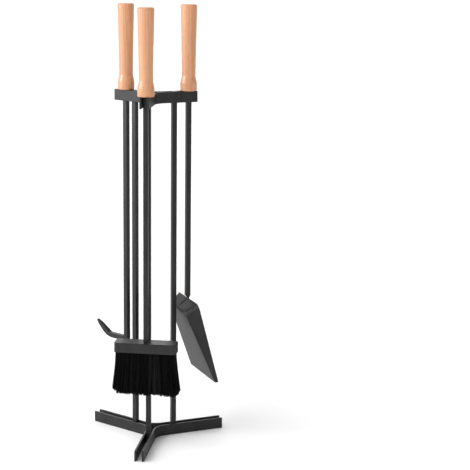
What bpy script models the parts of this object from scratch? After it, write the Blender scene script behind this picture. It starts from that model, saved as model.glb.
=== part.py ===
"""Fireplace tool set: a three-armed stand that carries a poker, a brush and a shovel.

The stand is two stars of bent flat bar, one on the floor and one near the top, joined by three
square posts.  Each star is three strips on edge.  Two neighbouring strips run side by side along
an arm, one bar's width apart: the posts are held in that gap near the middle, and the square rods
of the tools hang in it further out, by the collars of their turned wooden handles.

Metres, +Z up.  The front arm points along -Y and carries the brush.  The origin lies on the floor
under the middle of the set's bounding box.
"""

import math

import bmesh
import bpy
from mathutils import Matrix, Vector

# ---------------------------------------------------------------- driving dimensions
GAP = 0.0003                    # play between two pieces that touch
EDGE = 0.0005                   # rounding of the bars' and strips' edges

BAR = 0.008                     # side of the square bar of posts and rods

STRIP_THICKNESS = 0.0035
STRIP_HEIGHT = 0.018
STRIP_BEND_RADIUS = 0.025       # on the hollow side of the bend
BASE_ARM = 0.124                # star centre to the end of a base arm
TOP_ARM_OVERHANG = 0.013        # a top arm runs this far past the outermost rod's middle
SEAT_HEIGHT = 0.581             # floor to the upper edge of the top star
POST_DISTANCE = 0.037           # star centre to a post

ARM_DIRECTIONS = {"left": 150.0, "front": -90.0, "right": 30.0}     # degrees in plan
POKER_SPACING = 0.019           # post to poker rod, middle to middle
BRUSH_CLEARANCE = 0.002         # post to bristles where they are thickest
PAN_CLEARANCE = 0.0021          # post to the fold at the back of the pan

HANDLE_LENGTH = 0.139
HANDLE_TOP_DIAMETER = 0.027
HANDLE_WAIST_DIAMETER = 0.0224
HANDLE_WAIST_HEIGHT = 0.026     # collar's underside to the narrowest place
HANDLE_SWELL = 1.35             # 1 is a straight taper, more is fuller in the middle
COLLAR_DIAMETER = 0.0271
COLLAR_HEIGHT = 0.011           # the straight band below the flare
HANDLE_TOP_ROUNDING = 0.0032
COLLAR_ROUNDING = 0.001

TANG_DIAMETER = 0.006           # threaded round ends of the rods
TANG_LENGTH = 0.0125
INSERT_WALL = 0.0014            # threaded brass bush in the handle
INSERT_LENGTH = 0.014
HANDLE_BORE_DEPTH = 0.022

POKER_TIP_HEIGHT = 0.095        # floor to the point of the straight end
POKER_TAPER = 0.038
POKER_TIP = 0.0018
HOOK_HEIGHT = 0.1602            # floor to the middle of the hook's bar at its root
HOOK_RUN = 0.0341               # straight run before the hook turns up
HOOK_RISE_RUN = 0.0275          # second leg, measured outward and upward
HOOK_RISE = 0.022
HOOK_BAR = 0.0082
HOOK_CORNER = 0.12              # rounding of the bar's corners, as a share of its width
HOOK_BEND = 0.011               # how far the bend reaches along each leg, on the outside
HOOK_CREASE = 0.0022            # the same on the inside, where the bar is folded tight
# The second leg draws out to a blunt point: (share of the leg, share of the bar's width).
HOOK_POINT = ((0.7, 0.78), (0.97, 0.415), (1.0, 0.25))

BRUSH_TOP_HEIGHT = 0.1815       # floor to the top of the steel cap
BRUSH_WIDTH = 0.102
BRUSH_DEPTH = 0.028
BRUSH_CORNER = 0.0055
CAP_HEIGHT = 0.016
CAP_WALL = 0.0012
BLOCK_HEIGHT = 0.012
NUT_ACROSS_FLATS = 0.010
NUT_HEIGHT = 0.005
NUT_POCKET_PLAY = 0.001         # room for the nut's corners in the block
BRISTLE_FOOT_HEIGHT = 0.0925    # floor to the bristles' ends
BRISTLE_WIDEST_HEIGHT = 0.104
BRISTLE_SPREAD = 0.0065         # how far they splay beyond the block, each side
BRISTLE_SPREAD_DEPTH = 0.0035
BRISTLE_LEAN = 0.0012           # sideways set of the worn ends
BRISTLE_SPLAY = 1.3             # 1 is a straight splay, more opens towards the ends

PAN_THICKNESS = 0.002
PAN_BACK_HEIGHT = 0.2194        # floor to the fold between pan bottom and back wall
PAN_RIM_OFFSET = 0.0009         # from the rod's middle to the rim of the back wall
PAN_LENGTH = 0.129              # fold to lip
PAN_LEAN = 21.5                 # degrees, pan bottom from the vertical
PAN_BACK_HALF_WIDTH = 0.0383
PAN_LIP_HALF_WIDTH = 0.057
PAN_WALL_HEIGHT = 0.0239        # at the back, square to the bottom
PAN_LIP_WALL_HEIGHT = 0.005
PAN_SIDE_FLARE = 0.4625         # outward lean of the side walls per unit of height
PAN_BACK_FLARE = 0.28           # backward lean of the back wall per unit of height
PAN_FOLD_RADIUS = 0.001         # inside, where bottom and walls meet
PAN_CORNER_RADIUS = 0.0075      # inside, where back wall and side walls meet
PAN_LIP_CORNER = 0.0025
SEAM_WIDTH = 0.0039             # open seam between the two flaps of the back wall
SEAM_FOOT = 0.004               # where it stops above the pan bottom
ROD_WEDGE = 0.0042              # length of the shovel rod's wedge-shaped end

RING_CORNER_POINTS = 4          # points on each rounded corner of a lofted bar
LATHE_STEPS = 32
TAPER_STEPS = 5
FLARE_STEPS = 6
BEND_STEPS = 10
HOOK_BEND_STEPS = 5
NUT_POINTS_PER_SIDE = 4

# ---------------------------------------------------------------- derived dimensions
HALF_SLOT = BAR / 2 + GAP                       # arm axis to the inner face of a strip
STRIP_OUTER = HALF_SLOT + STRIP_THICKNESS       # arm axis to the outer face of a strip
TANG_HOLE = TANG_DIAMETER / 2 + GAP
INSERT_RADIUS = TANG_HOLE + INSERT_WALL
BORE_RADIUS = INSERT_RADIUS + GAP
HANDLE_FOOT = SEAT_HEIGHT + GAP
HALF_SECTOR = math.radians(60.0)

POST_OUTER = POST_DISTANCE + BAR / 2
BRISTLE_HALF_DEPTH = BRUSH_DEPTH / 2 - CAP_WALL - GAP + BRISTLE_SPREAD_DEPTH
PAN_TURN = math.radians(90.0 - PAN_LEAN)
PAN_RIM_RUN = PAN_WALL_HEIGHT * (math.sin(PAN_TURN) - PAN_BACK_FLARE * math.cos(PAN_TURN))
PAN_BACK_OFFSET = PAN_RIM_OFFSET - PAN_RIM_RUN      # from the rod's middle to the fold at the back

POKER_DISTANCE = POST_DISTANCE + POKER_SPACING      # star centre to each rod, where the tool hangs
BRUSH_DISTANCE = POST_OUTER + BRUSH_CLEARANCE + BRISTLE_HALF_DEPTH
SHOVEL_DISTANCE = POST_OUTER + PAN_CLEARANCE - PAN_BACK_OFFSET
TOP_ARM = max(POKER_DISTANCE, BRUSH_DISTANCE, SHOVEL_DISTANCE) + TOP_ARM_OVERHANG


# ---------------------------------------------------------------- scene and materials
def clear_scene():
    """Remove every object that the scene starts with."""
    for item in list(bpy.data.objects):
        bpy.data.objects.remove(item, do_unlink=True)


def material(name, colour, roughness, metallic=0.0):
    """Return a Principled material of one colour."""
    result = bpy.data.materials.new(name)
    result.use_nodes = True
    shader = result.node_tree.nodes["Principled BSDF"]
    shader.inputs["Base Color"].default_value = (*colour, 1.0)
    shader.inputs["Roughness"].default_value = roughness
    shader.inputs["Metallic"].default_value = metallic
    return result


def empty(name, location, rotation, parent=None):
    """Add an empty that a group of pieces hangs from."""
    item = bpy.data.objects.new(name, None)
    item.location = location
    item.rotation_euler = rotation
    item.parent = parent
    bpy.context.scene.collection.objects.link(item)
    return item


def piece(name, mesh, finish, parent, location=(0.0, 0.0, 0.0), turn=0.0):
    """Add one solid piece of the object."""
    item = bpy.data.objects.new(name, mesh)
    item.location = location
    item.rotation_euler = (0.0, 0.0, turn)
    item.parent = parent
    if finish.name not in mesh.materials:
        mesh.materials.append(finish)
    bpy.context.scene.collection.objects.link(item)
    return item


def cutter(name, mesh, target, parent, location=(0.0, 0.0, 0.0)):
    """Cut the target with a mesh, which stays in the scene as a wire guide."""
    tool = bpy.data.objects.new(name, mesh)
    tool.location = location
    tool.parent = parent
    tool.hide_render = True
    tool.display_type = "WIRE"
    bpy.context.scene.collection.objects.link(tool)
    cut = target.modifiers.new(name, "BOOLEAN")
    cut.operation = "DIFFERENCE"
    cut.solver = "EXACT"
    cut.object = tool
    return tool


# ---------------------------------------------------------------- mesh helpers
def finish_mesh(name, shape, sharp_angle=35.0):
    """Turn a bmesh into a mesh whose faces point out and whose round faces are smooth."""
    bmesh.ops.recalc_face_normals(shape, faces=shape.faces)
    mesh = bpy.data.meshes.new(name)
    shape.to_mesh(mesh)
    shape.free()
    mesh.shade_smooth()
    mesh.set_sharp_from_angle(angle=math.radians(sharp_angle))
    return mesh


def bevel_edges(shape, edges, width, segments):
    """Round the given edges of a bmesh."""
    bmesh.ops.bevel(shape, geom=edges, offset=width, offset_type="OFFSET", segments=segments,
                    profile=0.5, affect="EDGES", clamp_overlap=True, material=-1)


def sharp_edges(shape, degrees=40.0):
    """Return the edges where two faces meet at more than the given angle."""
    limit = math.radians(degrees)
    return [edge for edge in shape.edges if edge.is_manifold and edge.calc_face_angle() > limit]


def rounded_rectangle(size_x, size_y, radius, centre=(0.0, 0.0)):
    """Return a ring of points round a rectangle with rounded corners, anticlockwise."""
    ring = []
    corners = ((1, 1, 0.0), (-1, 1, 90.0), (-1, -1, 180.0), (1, -1, 270.0))
    for sign_x, sign_y, start in corners:
        middle_x = centre[0] + sign_x * (size_x / 2 - radius)
        middle_y = centre[1] + sign_y * (size_y / 2 - radius)
        for step in range(RING_CORNER_POINTS):
            angle = math.radians(start + 90.0 * step / (RING_CORNER_POINTS - 1))
            ring.append((middle_x + radius * math.cos(angle), middle_y + radius * math.sin(angle)))
    return ring


def circle(radius, count=4 * RING_CORNER_POINTS):
    """Return a ring of points on a circle, anticlockwise, in step with a rounded rectangle."""
    angles = [math.tau * (step + 0.5) / count for step in range(count)]
    return [(radius * math.cos(angle), radius * math.sin(angle)) for angle in angles]


def hexagon(across_flats, points_per_side):
    """Return a ring of points along a hexagon, anticlockwise, the first one half a step round."""
    ring = []
    count = 6 * points_per_side
    for step in range(count):
        angle = math.tau * (step + 0.5) / count
        from_flat = (angle % math.radians(60.0)) - math.radians(30.0)
        reach = across_flats / 2 / math.cos(from_flat)
        ring.append((reach * math.cos(angle), reach * math.sin(angle)))
    return ring


def level(ring, height):
    """Lift a ring of plan points to a height."""
    return [Vector((x, y, height)) for x, y in ring]


def loft(name, rings, hollow=False):
    """Skin a row of equal rings.  A hollow loft joins its last ring to its first."""
    shape = bmesh.new()
    rows = [[shape.verts.new(point) for point in ring] for ring in rings]
    pairs = list(zip(rows, rows[1:]))
    if hollow:
        pairs.append((rows[-1], rows[0]))
    else:
        shape.faces.new(rows[0])
        shape.faces.new(list(reversed(rows[-1])))
    for lower, upper in pairs:
        for step in range(len(lower)):
            after = (step + 1) % len(lower)
            shape.faces.new((lower[step], lower[after], upper[after], upper[step]))
    return finish_mesh(name, shape)


def turned(name, profile):
    """Revolve a profile of (radius, height) points, which starts and ends on the axis or closes."""
    shape = bmesh.new()
    points = [shape.verts.new((radius, 0.0, height)) for radius, height in profile]
    edges = [shape.edges.new(pair) for pair in zip(points, points[1:])]
    if profile[0][0] > 0.0:
        edges.append(shape.edges.new((points[-1], points[0])))
    bmesh.ops.spin(shape, geom=points + edges, cent=(0, 0, 0), axis=(0, 0, 1),
                   angle=math.tau, steps=LATHE_STEPS, use_merge=True)
    bmesh.ops.remove_doubles(shape, verts=shape.verts, dist=1e-6)
    return finish_mesh(name, shape)


def arc(centre, radius, start, end, steps):
    """Return points on an arc, angles in degrees, both ends included."""
    angles = [math.radians(start + (end - start) * step / steps) for step in range(steps + 1)]
    return [(centre[0] + radius * math.cos(a), centre[1] + radius * math.sin(a)) for a in angles]


def smooth_step(value):
    """Ease from 0 to 1 with level ends."""
    return value * value * (3.0 - 2.0 * value)


# ---------------------------------------------------------------- stand
def strip_mesh(name, arm_length):
    """Bend one strip on edge: two arms 60 degrees either side of +X and an arc between them."""
    bend_x = (STRIP_BEND_RADIUS + STRIP_OUTER) / math.sin(HALF_SECTOR)
    outline = []
    for offset, radius, order in ((STRIP_OUTER, STRIP_BEND_RADIUS, 1),
                                  (HALF_SLOT, STRIP_BEND_RADIUS + STRIP_THICKNESS, -1)):
        side = []
        for sign in (-1, 1):
            along = Vector((math.cos(HALF_SECTOR), sign * math.sin(HALF_SECTOR)))
            inward = Vector((math.sin(HALF_SECTOR), -sign * math.cos(HALF_SECTOR)))
            side.append(tuple(along * arm_length + inward * offset))
        bend = arc((bend_x, 0.0), radius, 210.0, 150.0, BEND_STEPS)
        side = [side[0]] + bend + [side[1]]
        outline += side[::order]
    shape = bmesh.new()
    face = shape.faces.new([shape.verts.new((x, y, 0.0)) for x, y in outline])
    raised = bmesh.ops.extrude_face_region(shape, geom=[face])
    moved = [item for item in raised["geom"] if isinstance(item, bmesh.types.BMVert)]
    bmesh.ops.translate(shape, verts=moved, vec=(0.0, 0.0, STRIP_HEIGHT))
    bevel_edges(shape, sharp_edges(shape), EDGE, 1)
    return finish_mesh(name, shape)


def build_stand(root, steel):
    """Build both stars and the three posts between them."""
    stars = (("base_strip", strip_mesh("base_strip", BASE_ARM), 0.0),
             ("top_strip", strip_mesh("top_strip", TOP_ARM), SEAT_HEIGHT - STRIP_HEIGHT))
    sectors = (("front_right", "front", "right"), ("front_left", "front", "left"),
               ("back", "left", "right"))
    for star_name, mesh, height in stars:
        for sector_name, first, second in sectors:
            turns = [math.radians(ARM_DIRECTIONS[arm]) for arm in (first, second)]
            middle = sum((Vector((math.cos(t), math.sin(t))) for t in turns), Vector((0.0, 0.0)))
            turn = math.atan2(middle.y, middle.x)
            piece(f"{star_name}_{sector_name}", mesh, steel, root, (0.0, 0.0, height), turn)
    section = rounded_rectangle(BAR, BAR, EDGE)
    post = loft("post", [level(section, 0.0), level(section, SEAT_HEIGHT)])
    for arm_name, degrees in ARM_DIRECTIONS.items():
        turn = math.radians(degrees)
        place = (POST_DISTANCE * math.cos(turn), POST_DISTANCE * math.sin(turn), 0.0)
        piece(f"post_{arm_name}", post, steel, root, place, turn)


# ---------------------------------------------------------------- handles
def handle_outline():
    """Return the outside of a handle from its crown down to its underside."""
    top = HANDLE_TOP_DIAMETER / 2
    waist = HANDLE_WAIST_DIAMETER / 2
    collar = COLLAR_DIAMETER / 2
    taper_top = HANDLE_LENGTH - HANDLE_TOP_ROUNDING
    crown = arc((top - HANDLE_TOP_ROUNDING, taper_top), HANDLE_TOP_ROUNDING, 90.0, 0.0, 4)
    taper = []
    for step in range(1, TAPER_STEPS):
        share = step / TAPER_STEPS
        drop = 1.0 - (1.0 - share) ** HANDLE_SWELL
        height = taper_top + (HANDLE_WAIST_HEIGHT - taper_top) * share
        taper.append((top + (waist - top) * drop, height))
    flare = []
    for step in range(FLARE_STEPS + 1):
        share = step / FLARE_STEPS
        height = HANDLE_WAIST_HEIGHT + (COLLAR_HEIGHT - HANDLE_WAIST_HEIGHT) * share
        flare.append((waist + (collar - waist) * smooth_step(share), height))
    foot = arc((collar - COLLAR_ROUNDING, COLLAR_ROUNDING), COLLAR_ROUNDING, 0.0, -90.0, 3)
    return [(0.0, HANDLE_LENGTH)] + crown + taper + flare + foot


def handle_mesh():
    """Turn a handle with a blind bore in its underside."""
    bore = [(BORE_RADIUS, 0.0), (BORE_RADIUS, HANDLE_BORE_DEPTH), (0.0, HANDLE_BORE_DEPTH)]
    return turned("handle", handle_outline() + bore)


def insert_mesh():
    """Turn the threaded bush that the rod's tang screws into."""
    return turned("insert", [(TANG_HOLE, 0.0), (INSERT_RADIUS, 0.0),
                             (INSERT_RADIUS, INSERT_LENGTH), (TANG_HOLE, INSERT_LENGTH)])


def rod_head():
    """Return the rings at the upper end of every rod: square shoulder, then round tang."""
    shoulder = HANDLE_FOOT - GAP
    square = rounded_rectangle(BAR, BAR, EDGE)
    tang = circle(TANG_DIAMETER / 2)
    return [level(square, shoulder), level(tang, shoulder), level(tang, shoulder + TANG_LENGTH)]


def build_grip(tool, prefix, meshes, finishes):
    """Hang a handle and its bush at the top of a tool."""
    handle, insert = meshes
    wood, brass = finishes
    piece(f"{prefix}_handle", handle, wood, tool, (0.0, 0.0, HANDLE_FOOT))
    piece(f"{prefix}_insert", insert, brass, tool, (0.0, 0.0, HANDLE_FOOT + GAP))


# ---------------------------------------------------------------- poker
def turned_corner(corner, along, reach):
    """Points round a corner: in along +X, out along a direction, both legs by the same reach."""
    before = corner - Vector((reach, 0.0, 0.0))
    after = corner + along * reach
    shares = [step / HOOK_BEND_STEPS for step in range(HOOK_BEND_STEPS + 1)]
    return [before.lerp(corner, share).lerp(corner.lerp(after, share), share) for share in shares]


def hook_section(under, over, width):
    """One ring of the hook's square bar between its underside and its top."""
    middle = (under + over) / 2
    upward = (over - under).normalized()
    section = rounded_rectangle(width, (over - under).length, width * HOOK_CORNER)
    return [middle + Vector((0.0, side, 0.0)) + upward * lift for side, lift in section]


def build_poker(tool, steel):
    """Build the poker's rod, drawn to a point, and the hook welded to its outer face."""
    square = rounded_rectangle(BAR, BAR, EDGE)
    point = rounded_rectangle(POKER_TIP, POKER_TIP, POKER_TIP / 4)
    rings = [level(point, POKER_TIP_HEIGHT), level(square, POKER_TIP_HEIGHT + POKER_TAPER)]
    piece("poker_rod", loft("poker_rod", rings + rod_head()), steel, tool)

    root_x = BAR / 2 + GAP
    root = Vector((root_x, 0.0, HOOK_HEIGHT))
    bend = Vector((root_x + HOOK_RUN, 0.0, HOOK_HEIGHT))
    rise = Vector((HOOK_RISE_RUN, 0.0, HOOK_RISE))
    along = rise.normalized()
    half_up = Vector((0.0, 0.0, HOOK_BAR / 2))
    mitre = Vector((HOOK_BAR / 2 * math.tan(math.atan2(rise.z, rise.x) / 2), 0.0, 0.0))
    outside = turned_corner(bend - half_up + mitre, along, HOOK_BEND)
    inside = turned_corner(bend + half_up - mitre, along, HOOK_CREASE)
    rings = [hook_section(root - half_up, root + half_up, HOOK_BAR)]
    rings += [hook_section(under, over, HOOK_BAR) for under, over in zip(outside, inside)]
    square_up = Vector((-along.z, 0.0, along.x))
    for share, size in HOOK_POINT:
        place = bend + rise * share
        half = square_up * (HOOK_BAR * size / 2)
        rings.append(hook_section(place - half, place + half, HOOK_BAR * size))
    piece("poker_hook", loft("poker_hook", rings), steel, tool)


# ---------------------------------------------------------------- brush
def build_brush(tool, steel, wood, zinc, fibre):
    """Build the brush: rod, steel cap, bristle block, nut and the bristles themselves."""
    cap_top = BRUSH_TOP_HEIGHT
    cap_foot = cap_top - CAP_HEIGHT
    block_top = cap_top - CAP_WALL - GAP
    block_foot = block_top - BLOCK_HEIGHT
    pocket_depth = NUT_HEIGHT + 2 * GAP
    hole = circle(TANG_HOLE)
    pocket = circle(NUT_ACROSS_FLATS / 2 / math.cos(math.radians(30.0)) + NUT_POCKET_PLAY)

    square = rounded_rectangle(BAR, BAR, EDGE)
    tang = circle(TANG_DIAMETER / 2)
    shoulder = cap_top + GAP
    lower_tang = [level(tang, block_foot + GAP), level(tang, shoulder), level(square, shoulder)]
    piece("brush_rod", loft("brush_rod", lower_tang + rod_head()), steel, tool)

    outer = rounded_rectangle(BRUSH_DEPTH, BRUSH_WIDTH, BRUSH_CORNER)
    brow = rounded_rectangle(BRUSH_DEPTH - 2 * EDGE, BRUSH_WIDTH - 2 * EDGE, BRUSH_CORNER - EDGE)
    hollow_depth = BRUSH_DEPTH - 2 * CAP_WALL
    hollow_width = BRUSH_WIDTH - 2 * CAP_WALL
    hollow_corner = BRUSH_CORNER - CAP_WALL
    hollow = rounded_rectangle(hollow_depth, hollow_width, hollow_corner)
    rings = [level(outer, cap_foot), level(outer, cap_top - EDGE), level(brow, cap_top),
             level(hole, cap_top), level(hole, cap_top - CAP_WALL),
             level(hollow, cap_top - CAP_WALL), level(hollow, cap_foot)]
    piece("brush_cap", loft("brush_cap", rings, hollow=True), steel, tool)

    block_depth = hollow_depth - 2 * GAP
    block_width = hollow_width - 2 * GAP
    block_corner = hollow_corner - GAP
    block = rounded_rectangle(block_depth, block_width, block_corner)
    rings = [level(block, block_foot), level(block, block_top), level(hole, block_top),
             level(hole, block_foot + pocket_depth), level(pocket, block_foot + pocket_depth),
             level(pocket, block_foot)]
    piece("brush_block", loft("brush_block", rings, hollow=True), wood, tool)

    nut_hole = circle(TANG_HOLE, 6 * NUT_POINTS_PER_SIDE)
    nut_rim = hexagon(NUT_ACROSS_FLATS, NUT_POINTS_PER_SIDE)
    nut_foot = block_foot + GAP
    rings = [level(nut_rim, nut_foot), level(nut_rim, nut_foot + NUT_HEIGHT),
             level(nut_hole, nut_foot + NUT_HEIGHT), level(nut_hole, nut_foot)]
    piece("brush_nut", loft("brush_nut", rings, hollow=True), zinc, tool)

    bristle_top = block_foot - GAP
    drop = bristle_top - BRISTLE_WIDEST_HEIGHT
    rings = []
    for share in (0.0, 0.5, 1.0):
        splay = share ** BRISTLE_SPLAY
        depth = block_depth + 2 * BRISTLE_SPREAD_DEPTH * splay
        width = block_width + 2 * BRISTLE_SPREAD * splay
        section = rounded_rectangle(depth, width, block_corner, (0.0, BRISTLE_LEAN * splay))
        rings.append(level(section, bristle_top - drop * share))
    foot_drop = BRISTLE_WIDEST_HEIGHT - BRISTLE_FOOT_HEIGHT
    for share in (0.45, 0.8, 1.0):
        tuck = 1.0 - math.sqrt(1.0 - share * share)
        narrow = width - 2 * foot_drop * tuck
        shallow = depth - foot_drop * 0.5 * tuck
        section = rounded_rectangle(shallow, narrow, block_corner, (0.0, BRISTLE_LEAN))
        rings.append(level(section, BRISTLE_WIDEST_HEIGHT - foot_drop * share))
    piece("brush_bristles", loft("brush_bristles", rings), fibre, tool)


# ---------------------------------------------------------------- shovel
def is_upright(edge):
    """Tell whether an edge of the pan body climbs from the bottom towards the rim."""
    run = edge.verts[1].co - edge.verts[0].co
    return abs(run.z) > 0.6 * run.length


def pan_body(name, inset, mouth, overrun):
    """Return the pan's flared body in its own frame: x from fold to lip, y across, z up the walls.

    The inset moves bottom, back and sides inward by one wall, mouth is the rim plane's heights at
    the back and at the lip, and overrun carries the body past the lip.
    """
    side_slope = (PAN_LIP_HALF_WIDTH - PAN_BACK_HALF_WIDTH) / PAN_LENGTH
    side_inset = inset * math.sqrt(1.0 + side_slope ** 2 + PAN_SIDE_FLARE ** 2)
    back_inset = inset * math.sqrt(1.0 + PAN_BACK_FLARE ** 2)

    def corner(along, height, sign):
        half = PAN_BACK_HALF_WIDTH + side_slope * along + PAN_SIDE_FLARE * height - side_inset
        return Vector((along, sign * half, height))

    def back(height):
        return back_inset - PAN_BACK_FLARE * height

    lip = PAN_LENGTH + overrun
    corners = [corner(back(inset), inset, -1), corner(lip, inset, -1),
               corner(lip, inset, 1), corner(back(inset), inset, 1),
               corner(back(mouth[0]), mouth[0], -1), corner(lip, mouth[1], -1),
               corner(lip, mouth[1], 1), corner(back(mouth[0]), mouth[0], 1)]
    shape = bmesh.new()
    points = [shape.verts.new(point) for point in corners]
    for loop in ((0, 1, 2, 3), (4, 5, 6, 7), (0, 1, 5, 4), (1, 2, 6, 5), (2, 3, 7, 6), (3, 0, 4, 7)):
        shape.faces.new([points[index] for index in loop])
    bmesh.ops.recalc_face_normals(shape, faces=shape.faces)
    upright = [edge for edge in shape.edges if is_upright(edge)]
    at_back = [edge for edge in upright if edge.verts[0].co.x < lip / 2]
    bevel_edges(shape, at_back, PAN_CORNER_RADIUS + PAN_THICKNESS - inset, 4)
    bottom = min(shape.faces, key=lambda face: face.normal.z)
    folds = [edge for edge in bottom.edges if min(point.co.x for point in edge.verts) < lip / 2]
    bevel_edges(shape, folds, PAN_FOLD_RADIUS + PAN_THICKNESS - inset, 3)
    if not overrun:
        at_lip = [edge for edge in shape.edges
                  if is_upright(edge) and edge.verts[0].co.x > lip - PAN_THICKNESS]
        bevel_edges(shape, at_lip, PAN_LIP_CORNER, 3)
    return finish_mesh(name, shape, 25.0)


def build_shovel(tool, steel):
    """Build the shovel: its rod with a wedge-shaped end and the folded sheet pan."""
    fold = Vector((PAN_BACK_OFFSET, 0.0, PAN_BACK_HEIGHT))
    pan_frame = empty("pan_frame", fold, (0.0, PAN_TURN, 0.0), tool)
    outer_mouth = (PAN_WALL_HEIGHT, PAN_LIP_WALL_HEIGHT)
    pan = piece("shovel_pan", pan_body("shovel_pan", 0.0, outer_mouth, 0.0), steel, pan_frame)
    inner_mouth = (2.5 * PAN_WALL_HEIGHT, 2.5 * PAN_WALL_HEIGHT)
    inside = pan_body("pan_inside", PAN_THICKNESS, inner_mouth, PAN_LENGTH / 2)
    cutter("pan_inside", inside, pan, pan_frame)

    seam = bmesh.new()
    bmesh.ops.create_cube(seam, size=1.0)
    seam_height = PAN_WALL_HEIGHT * 2
    seam_depth = PAN_WALL_HEIGHT
    bmesh.ops.transform(seam, matrix=Matrix.Diagonal((seam_depth, SEAM_WIDTH, seam_height, 1.0)),
                        verts=seam.verts)
    seam_place = (-seam_depth / 2 + PAN_THICKNESS * 1.5, 0.0,
                  PAN_THICKNESS + SEAM_FOOT + seam_height / 2)
    cutter("pan_seam", finish_mesh("pan_seam", seam), pan, pan_frame, seam_place)

    rim_back = Vector((-PAN_BACK_FLARE * PAN_WALL_HEIGHT, 0.0, PAN_WALL_HEIGHT))
    rim = fold + Matrix.Rotation(PAN_TURN, 3, "Y") @ rim_back
    ridge = rounded_rectangle(EDGE, BAR - 2 * EDGE, EDGE / 4, (rim.x, 0.0))
    square = rounded_rectangle(BAR, BAR, EDGE)
    wedge = [level(ridge, rim.z + GAP), level(square, rim.z + GAP + ROD_WEDGE)]
    piece("shovel_rod", loft("shovel_rod", wedge + rod_head()), steel, tool)


# ---------------------------------------------------------------- assembly
def centre_on_floor(root):
    """Shift the whole set so that the middle of its box lies over the origin."""
    bpy.context.view_layer.update()
    graph = bpy.context.evaluated_depsgraph_get()
    corners = []
    for item in bpy.data.objects:
        if item.type == "MESH" and not item.hide_render:
            shown = item.evaluated_get(graph)
            corners += [shown.matrix_world @ vertex.co for vertex in shown.data.vertices]
    for axis in (0, 1):
        low = min(point[axis] for point in corners)
        high = max(point[axis] for point in corners)
        root.location[axis] -= (low + high) / 2
    bpy.context.view_layer.update()


def tool_frame(name, arm, distance, root):
    """Add the frame of one tool: under its rod on the floor, +X outward along the arm."""
    turn = math.radians(ARM_DIRECTIONS[arm])
    place = (distance * math.cos(turn), distance * math.sin(turn), 0.0)
    return empty(name, place, (0.0, 0.0, turn), root)


def main():
    """Build the whole set."""
    clear_scene()
    steel = material("black_powder_coat", (0.035, 0.035, 0.037), 0.45)
    wood = material("beech", (0.72, 0.47, 0.28), 0.5)
    brass = material("brass", (0.80, 0.60, 0.28), 0.3, 1.0)
    zinc = material("zinc_plate", (0.62, 0.63, 0.65), 0.35, 1.0)
    fibre = material("black_fibre", (0.012, 0.012, 0.012), 0.7)

    root = empty("stand_axis", (0.0, 0.0, 0.0), (0.0, 0.0, 0.0))
    build_stand(root, steel)
    poker = tool_frame("poker_frame", "left", POKER_DISTANCE, root)
    brush = tool_frame("brush_frame", "front", BRUSH_DISTANCE, root)
    shovel = tool_frame("shovel_frame", "right", SHOVEL_DISTANCE, root)
    grips = (handle_mesh(), insert_mesh())
    for prefix, tool in (("poker", poker), ("brush", brush), ("shovel", shovel)):
        build_grip(tool, prefix, grips, (wood, brass))
    build_poker(poker, steel)
    build_brush(brush, steel, wood, zinc, fibre)
    build_shovel(shovel, steel)
    centre_on_floor(root)


main()
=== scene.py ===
"""Fireplace tool set, finished: a three-armed black steel stand with a poker, a brush and a shovel.

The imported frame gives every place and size.  This script dresses it: softened steel edges, weld
seams, turned beech handles, a folded brush cap and tufts of separate bristles, each with its own
finish, on a pale floor in soft light from the upper left.  Lengths are in metres.
"""

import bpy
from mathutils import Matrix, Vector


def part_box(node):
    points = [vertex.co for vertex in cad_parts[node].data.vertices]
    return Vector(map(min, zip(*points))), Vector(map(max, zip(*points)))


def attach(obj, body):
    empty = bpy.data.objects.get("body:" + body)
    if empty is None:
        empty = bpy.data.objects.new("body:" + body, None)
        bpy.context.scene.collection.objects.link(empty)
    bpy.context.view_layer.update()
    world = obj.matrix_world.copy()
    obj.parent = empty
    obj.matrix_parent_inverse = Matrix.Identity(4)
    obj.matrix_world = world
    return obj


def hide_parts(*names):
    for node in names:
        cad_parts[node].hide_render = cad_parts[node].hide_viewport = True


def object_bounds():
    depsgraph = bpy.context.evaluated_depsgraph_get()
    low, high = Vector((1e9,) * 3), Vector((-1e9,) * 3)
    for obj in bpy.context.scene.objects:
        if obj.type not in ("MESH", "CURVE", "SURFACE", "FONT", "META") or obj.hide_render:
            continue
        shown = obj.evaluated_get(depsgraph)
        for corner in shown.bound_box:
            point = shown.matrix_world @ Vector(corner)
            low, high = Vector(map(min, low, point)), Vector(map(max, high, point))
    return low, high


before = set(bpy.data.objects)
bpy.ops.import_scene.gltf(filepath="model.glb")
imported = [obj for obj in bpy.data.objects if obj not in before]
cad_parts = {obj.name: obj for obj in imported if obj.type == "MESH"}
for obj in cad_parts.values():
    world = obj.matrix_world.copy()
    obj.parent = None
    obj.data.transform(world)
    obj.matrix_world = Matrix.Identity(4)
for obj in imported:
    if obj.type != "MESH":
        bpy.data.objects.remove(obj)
CAD_BOUNDS = [list(corner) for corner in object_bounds()]

import logging
import math
import random
from dataclasses import dataclass, field
from enum import Enum
from typing import Iterable, Optional, Sequence, Union

import bmesh
import bpy
from mathutils import Matrix, Vector

log = logging.getLogger("fireplace_tools")

MERGE_DISTANCE = 1e-6       # points closer than this are one
SLIVER = 5e-6               # edges shorter than this are taken out after rounding
FLAT_DEGREES = 0.4          # faces that bend less than this are merged
WELD_SHARP_DEGREES = 80.0   # only a seam's ends are sharp
UP = Vector((0.0, 0.0, 1.0))


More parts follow.
